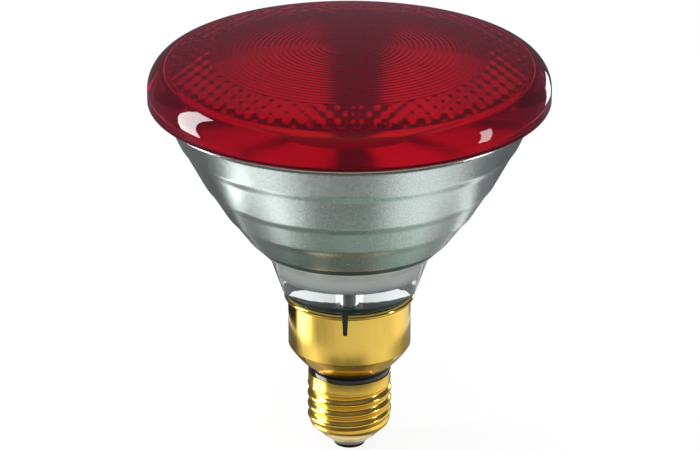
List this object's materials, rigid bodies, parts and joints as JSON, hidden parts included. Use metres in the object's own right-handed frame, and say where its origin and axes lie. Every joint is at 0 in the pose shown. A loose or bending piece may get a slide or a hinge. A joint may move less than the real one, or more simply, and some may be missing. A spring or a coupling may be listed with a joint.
{
  "type": "infrared heat lamp bulb",
  "caption": "Pressed-glass reflector heat lamp with a ribbed red lens, a silvered bowl and a skirted brass screw cap.",
  "frame": {"origin": "middle of the underside of the centre contact", "axes": "+Z along the lamp's axis from the contact to the lens; -Y faces the picture's camera"},
  "size_m": [0.1216, 0.1216, 0.1337],
  "materials": {
    "red_glass": "deep red, clear, glossy",
    "seal": "pale matt seal",
    "silvered_glass": "mirror film on the bowl, clear glass at the neck",
    "clear_glass": "clear, glossy",
    "ferrule_metal": "plain sealing alloy",
    "post_metal": "bright nickel-plated wire",
    "tungsten": "dark grey coil",
    "lead_metal": "tinned wire",
    "brass": "bright, clear-lacquered",
    "black_ring": "gloss black insulator",
    "black_glass": "gloss black glass",
    "contact_metal": "dull, darkened",
    "solder": "dull solder"
  },
  "bodies": {
    "root": {"front_lens": "red_glass", "rim_seal": "seal", "reflector": "silvered_glass", "ferrule_front": "ferrule_metal", "ferrule_rear": "ferrule_metal", "post_front": "post_metal", "post_rear": "post_metal", "filament": "tungsten", "support_bridge": "clear_glass", "support_wire": "post_metal", "exhaust_tip": "clear_glass", "contact_lead": "lead_metal", "shell_lead": "lead_metal", "skirt": "brass", "insulating_ring": "black_ring", "screw_shell": "brass", "base_insulator": "black_glass", "contact_plate": "contact_metal", "contact_solder": "solder"}
  },
  "joints": []
}
